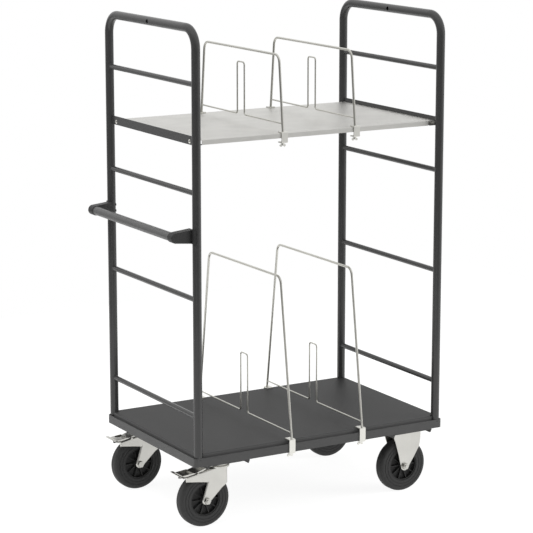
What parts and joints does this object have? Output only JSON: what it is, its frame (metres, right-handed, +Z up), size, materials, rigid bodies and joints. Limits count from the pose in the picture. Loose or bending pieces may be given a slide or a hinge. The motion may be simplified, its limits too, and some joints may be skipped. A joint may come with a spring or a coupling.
{
  "type": "cardboard box trolley",
  "caption": "Warehouse trolley for cardboard boxes: dark base on casters, hoop end frames, zinc shelf, push handle and sliding wire dividers.",
  "frame": {"origin": "centre of the overall box in plan, on the floor under the wheels", "axes": "+Z up, +X along the length away from the push handle, -Y the front long side"},
  "size_m": [0.9054, 0.5626, 1.4465],
  "materials": {
    "frame_paint": "satin dark grey powder coat",
    "base_paint": "satin dark grey powder coat",
    "deck_film": "wood board with a dark grey film face",
    "zinc_sheet": "bright zinc plated sheet",
    "zinc_wire": "bright zinc plated wire",
    "zinc_caster": "bright zinc plated pressing",
    "zinc_fastener": "bright zinc plated",
    "tyre_rubber": "solid dark grey rubber",
    "hub_plastic": "black moulded plastic",
    "arm_plastic": "dark grey moulded plastic",
    "black_fastener": "black zinc plated"
  },
  "bodies": {
    "frame": {"left_hoop": "frame_paint", "right_hoop": "frame_paint", "left_rungs": "frame_paint", "right_rungs": "frame_paint", "left_shelf_rail": "frame_paint", "right_shelf_rail": "frame_paint", "shelf_panel": "zinc_sheet", "shelf_screws": "zinc_fastener", "base_side_rails": "base_paint", "base_end_rails": "base_paint", "cross_members": "base_paint", "deck_board": "deck_film", "handle_tube": "frame_paint", "handle_arms": "arm_plastic", "handle_screws": "black_fastener", "caster_bolts": "zinc_fastener", "front_left_top_plate": "zinc_caster", "rear_left_top_plate": "zinc_caster", "front_right_fork": "zinc_caster", "front_right_axle": "zinc_fastener", "rear_right_fork": "zinc_caster", "rear_right_axle": "zinc_fastener"},
    "front_left_wheel": {"front_left_tyre": "tyre_rubber", "front_left_hub": "hub_plastic"},
    "front_left_swivel": {"front_left_fork": "zinc_caster", "front_left_axle": "zinc_fastener", "front_left_pedal_pin": "zinc_fastener"},
    "front_left_pedal": {"front_left_brake_pedal": "zinc_caster"},
    "rear_left_wheel": {"rear_left_tyre": "tyre_rubber", "rear_left_hub": "hub_plastic"},
    "rear_left_swivel": {"rear_left_fork": "zinc_caster", "rear_left_axle": "zinc_fastener", "rear_left_pedal_pin": "zinc_fastener"},
    "rear_left_pedal": {"rear_left_brake_pedal": "zinc_caster"},
    "front_right_wheel": {"front_right_tyre": "tyre_rubber", "front_right_hub": "hub_plastic"},
    "rear_right_wheel": {"rear_right_tyre": "tyre_rubber", "rear_right_hub": "hub_plastic"},
    "upper_1_divider": {"upper_1_hoop": "zinc_wire", "upper_1_finger": "zinc_wire", "upper_1_clamps": "zinc_wire"},
    "upper_1_front_wing_screw": {"upper_1_front_screw": "zinc_fastener"},
    "upper_1_rear_wing_screw": {"upper_1_rear_screw": "zinc_fastener"},
    "upper_2_divider": {"upper_2_hoop": "zinc_wire", "upper_2_finger": "zinc_wire", "upper_2_clamps": "zinc_wire"},
    "upper_2_front_wing_screw": {"upper_2_front_screw": "zinc_fastener"},
    "upper_2_rear_wing_screw": {"upper_2_rear_screw": "zinc_fastener"},
    "lower_1_divider": {"lower_1_hoop": "zinc_wire", "lower_1_finger": "zinc_wire", "lower_1_clamps": "zinc_wire"},
    "lower_1_front_wing_screw": {"lower_1_front_screw": "zinc_fastener"},
    "lower_1_rear_wing_screw": {"lower_1_rear_screw": "zinc_fastener"},
    "lower_2_divider": {"lower_2_hoop": "zinc_wire", "lower_2_finger": "zinc_wire", "lower_2_clamps": "zinc_wire"},
    "lower_2_front_wing_screw": {"lower_2_front_screw": "zinc_fastener"},
    "lower_2_rear_wing_screw": {"lower_2_rear_screw": "zinc_fastener"}
  },
  "joints": [
    {"name": "front_left_caster_swivel", "type": "hinge", "parent": "frame", "child": "front_left_swivel", "pos_m": [-0.27975, -0.209, 0.172], "axis": [0, 0, 1], "continuous": true},
    {"name": "front_left_brake", "type": "hinge", "parent": "front_left_swivel", "child": "front_left_pedal", "pos_m": [-0.35875, -0.209, 0.163], "axis": [0, -1, 0], "range_deg": [0, 12]},
    {"name": "front_left_wheel_spin", "type": "hinge", "parent": "front_left_swivel", "child": "front_left_wheel", "pos_m": [-0.33075, -0.209, 0.08], "axis": [0, 1, 0], "continuous": true},
    {"name": "rear_left_caster_swivel", "type": "hinge", "parent": "frame", "child": "rear_left_swivel", "pos_m": [-0.27975, 0.209, 0.172], "axis": [0, 0, 1], "continuous": true},
    {"name": "rear_left_brake", "type": "hinge", "parent": "rear_left_swivel", "child": "rear_left_pedal", "pos_m": [-0.35875, 0.209, 0.163], "axis": [0, -1, 0], "range_deg": [0, 12]},
    {"name": "rear_left_wheel_spin", "type": "hinge", "parent": "rear_left_swivel", "child": "rear_left_wheel", "pos_m": [-0.33075, 0.209, 0.08], "axis": [0, 1, 0], "continuous": true},
    {"name": "front_right_wheel_spin", "type": "hinge", "parent": "frame", "child": "front_right_wheel", "pos_m": [0.34975, -0.209, 0.08], "axis": [0, 1, 0], "continuous": true},
    {"name": "rear_right_wheel_spin", "type": "hinge", "parent": "frame", "child": "rear_right_wheel", "pos_m": [0.34975, 0.209, 0.08], "axis": [0, 1, 0], "continuous": true},
    {"name": "upper_1_divider_slide", "type": "slide", "parent": "frame", "child": "upper_1_divider", "axis": [1, 0, 0], "range_m": [-0.247, 0.116]},
    {"name": "upper_1_front_screw_turn", "type": "hinge", "parent": "upper_1_divider", "child": "upper_1_front_wing_screw", "pos_m": [-0.08225, -0.238, 1.097], "axis": [0, 0, 1], "continuous": true},
    {"name": "upper_1_rear_screw_turn", "type": "hinge", "parent": "upper_1_divider", "child": "upper_1_rear_wing_screw", "pos_m": [-0.08225, 0.238, 1.097], "axis": [0, 0, 1], "continuous": true},
    {"name": "upper_2_divider_slide", "type": "slide", "parent": "frame", "child": "upper_2_divider", "axis": [1, 0, 0], "range_m": [-0.098, 0.232]},
    {"name": "upper_2_front_screw_turn", "type": "hinge", "parent": "upper_2_divider", "child": "upper_2_front_wing_screw", "pos_m": [0.15875, -0.238, 1.097], "axis": [0, 0, 1], "continuous": true},
    {"name": "upper_2_rear_screw_turn", "type": "hinge", "parent": "upper_2_divider", "child": "upper_2_rear_wing_screw", "pos_m": [0.15875, 0.238, 1.097], "axis": [0, 0, 1], "continuous": true},
    {"name": "lower_1_divider_slide", "type": "slide", "parent": "frame", "child": "lower_1_divider", "axis": [1, 0, 0], "range_m": [-0.125, 0.107]},
    {"name": "lower_1_front_screw_turn", "type": "hinge", "parent": "lower_1_divider", "child": "lower_1_front_wing_screw", "pos_m": [-0.07325, -0.267, 0.1936], "axis": [0, 0, 1], "continuous": true},
    {"name": "lower_1_rear_screw_turn", "type": "hinge", "parent": "lower_1_divider", "child": "lower_1_rear_wing_screw", "pos_m": [-0.07325, 0.267, 0.1936], "axis": [0, 0, 1], "continuous": true},
    {"name": "lower_2_divider_slide", "type": "slide", "parent": "frame", "child": "lower_2_divider", "axis": [1, 0, 0], "range_m": [-0.107, 0.103]},
    {"name": "lower_2_front_screw_turn", "type": "hinge", "parent": "lower_2_divider", "child": "lower_2_front_wing_screw", "pos_m": [0.16775, -0.267, 0.1936], "axis": [0, 0, 1], "continuous": true},
    {"name": "lower_2_rear_screw_turn", "type": "hinge", "parent": "lower_2_divider", "child": "lower_2_rear_wing_screw", "pos_m": [0.16775, 0.267, 0.1936], "axis": [0, 0, 1], "continuous": true}
  ]
}
